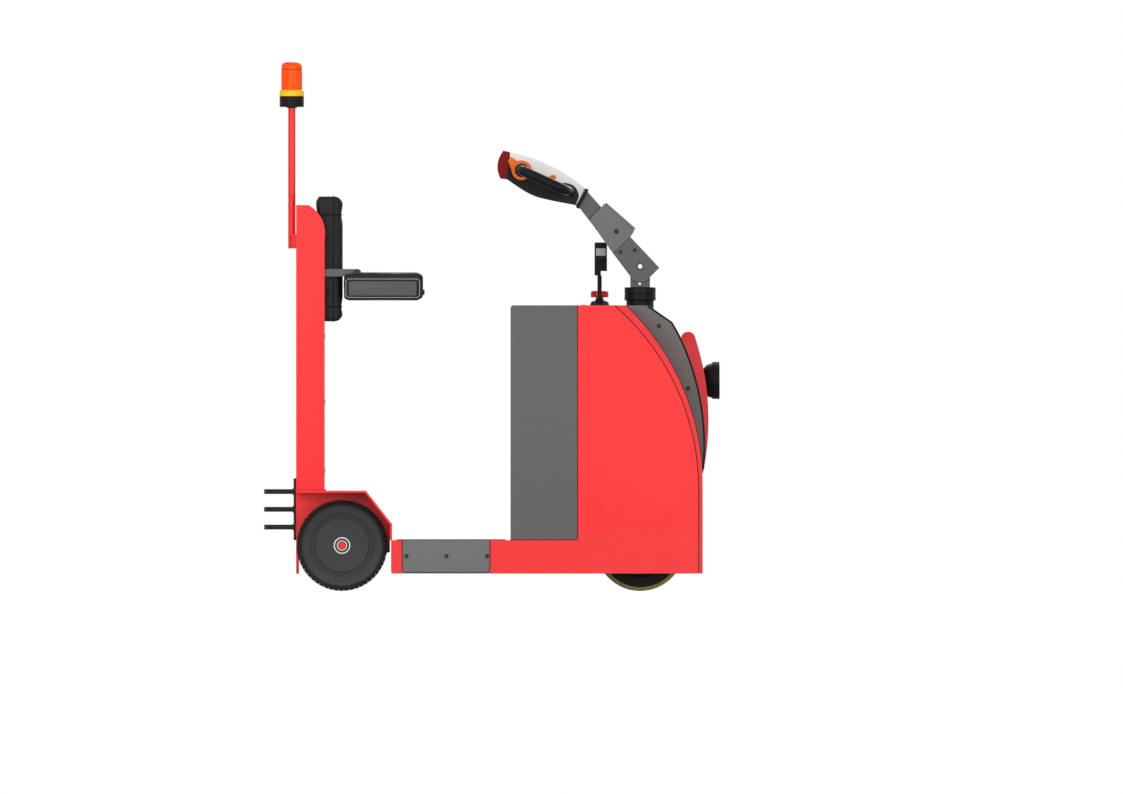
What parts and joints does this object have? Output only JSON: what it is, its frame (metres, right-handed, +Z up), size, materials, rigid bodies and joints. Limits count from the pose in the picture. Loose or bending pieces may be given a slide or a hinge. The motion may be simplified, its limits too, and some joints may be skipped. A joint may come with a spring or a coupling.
{
  "type": "stand-on baggage tug",
  "caption": "Stand-on electric tug with deck, curved drive housing, tiller steering, fold-up seat, warning beacon and towing hitch.",
  "frame": {"origin": "on the floor, at the centre of the machine's length and width", "axes": "+X forward towards the headlamp, +Y to the machine's left, +Z up"},
  "size_m": [1.2526, 0.7, 1.4545],
  "materials": {
    "red_sheet": "semi-gloss red paint",
    "red_shell": "glossy red moulded shell",
    "dark_grey_paint": "satin dark grey paint",
    "cover_grey": "grained grey cover",
    "arm_grey": "satin grey paint",
    "black_steel": "satin black paint",
    "black_plastic": "grained black plastic",
    "pale_plastic": "smooth pale shell",
    "orange_plastic": "glossy orange",
    "signal_red": "glossy signal red",
    "beacon_orange": "clear orange lens",
    "beacon_yellow": "yellow ring",
    "tyre_rubber": "matt tyre rubber",
    "drive_tyre_pu": "lime yellow polyurethane",
    "disc_grey": "moulded wheel disc",
    "deck_rubber": "ribbed mat",
    "pad_black": "grained soft cover over foam",
    "seat_grey": "integral skin foam",
    "steel": "bare steel",
    "machine_iron": "painted casting",
    "battery_case": "dark battery tray",
    "lamp_glass": "clear lens"
  },
  "bodies": {
    "chassis": {"side_plate_left": "red_sheet", "side_plate_right": "red_sheet", "step_plates": "dark_grey_paint", "deck_frame": "black_steel", "deck_mat": "deck_rubber", "drive_bay": "red_sheet", "front_shell": "red_shell", "hood_panel": "red_sheet", "battery_cover": "cover_grey", "battery": "battery_case", "column_cover": "cover_grey", "lamp_fairing": "red_shell", "headlamp_housing": "black_plastic", "headlamp_lens": "lamp_glass", "rear_frame": "red_sheet", "mudguard": "red_sheet", "rear_axle": "red_sheet", "hitch": "black_steel", "backrest_tower": "red_sheet", "tower_panel": "red_sheet", "backrest_pad": "pad_black", "seat_arms": "arm_grey", "beacon_pole": "red_sheet", "beacon_base": "black_plastic", "beacon_ring": "beacon_yellow", "beacon_lens": "beacon_orange", "hood_controls": "black_plastic", "stop_switch_button": "signal_red", "lever_grip": "black_plastic"},
    "rear_wheel_left": {"rear_tyre_left": "tyre_rubber", "rear_disc_left": "disc_grey"},
    "rear_wheel_right": {"rear_tyre_right": "tyre_rubber", "rear_disc_right": "disc_grey"},
    "steering": {"drive_unit": "machine_iron", "steering_column": "black_plastic", "tiller_bracket": "arm_grey"},
    "drive_wheel": {"drive_hub": "machine_iron", "drive_tyre": "drive_tyre_pu"},
    "tiller": {"tiller_side_plates": "arm_grey", "tiller_arm": "arm_grey", "tiller_cover": "cover_grey", "head_lower_shell": "black_plastic", "head_upper_shell": "pale_plastic", "end_button": "signal_red", "thumb_switches": "orange_plastic", "head_grips": "black_plastic"},
    "seat": {"seat_cushion": "seat_grey", "seat_hinges": "steel"}
  },
  "joints": [
    {"name": "rear_wheel_left_spin", "type": "hinge", "parent": "chassis", "child": "rear_wheel_left", "pos_m": [-0.4118, 0.305, 0.125], "axis": [0, 1, 0], "continuous": true},
    {"name": "rear_wheel_right_spin", "type": "hinge", "parent": "chassis", "child": "rear_wheel_right", "pos_m": [-0.4118, -0.305, 0.125], "axis": [0, 1, 0], "continuous": true},
    {"name": "steering_turn", "type": "hinge", "parent": "chassis", "child": "steering", "pos_m": [0.408, 0, 0.268], "axis": [0, 0, 1], "range_deg": [-90, 90]},
    {"name": "drive_wheel_spin", "type": "hinge", "parent": "steering", "child": "drive_wheel", "pos_m": [0.408, 0, 0.1225], "axis": [0, 1, 0], "continuous": true},
    {"name": "tiller_tilt", "type": "hinge", "parent": "steering", "child": "tiller", "pos_m": [0.408, 0, 0.8924], "axis": [0, 1, 0], "range_deg": [-40, 38]},
    {"name": "seat_fold", "type": "hinge", "parent": "chassis", "child": "seat", "pos_m": [-0.3699, 0, 0.8752], "axis": [0, -1, 0], "range_deg": [0, 90]}
  ]
}
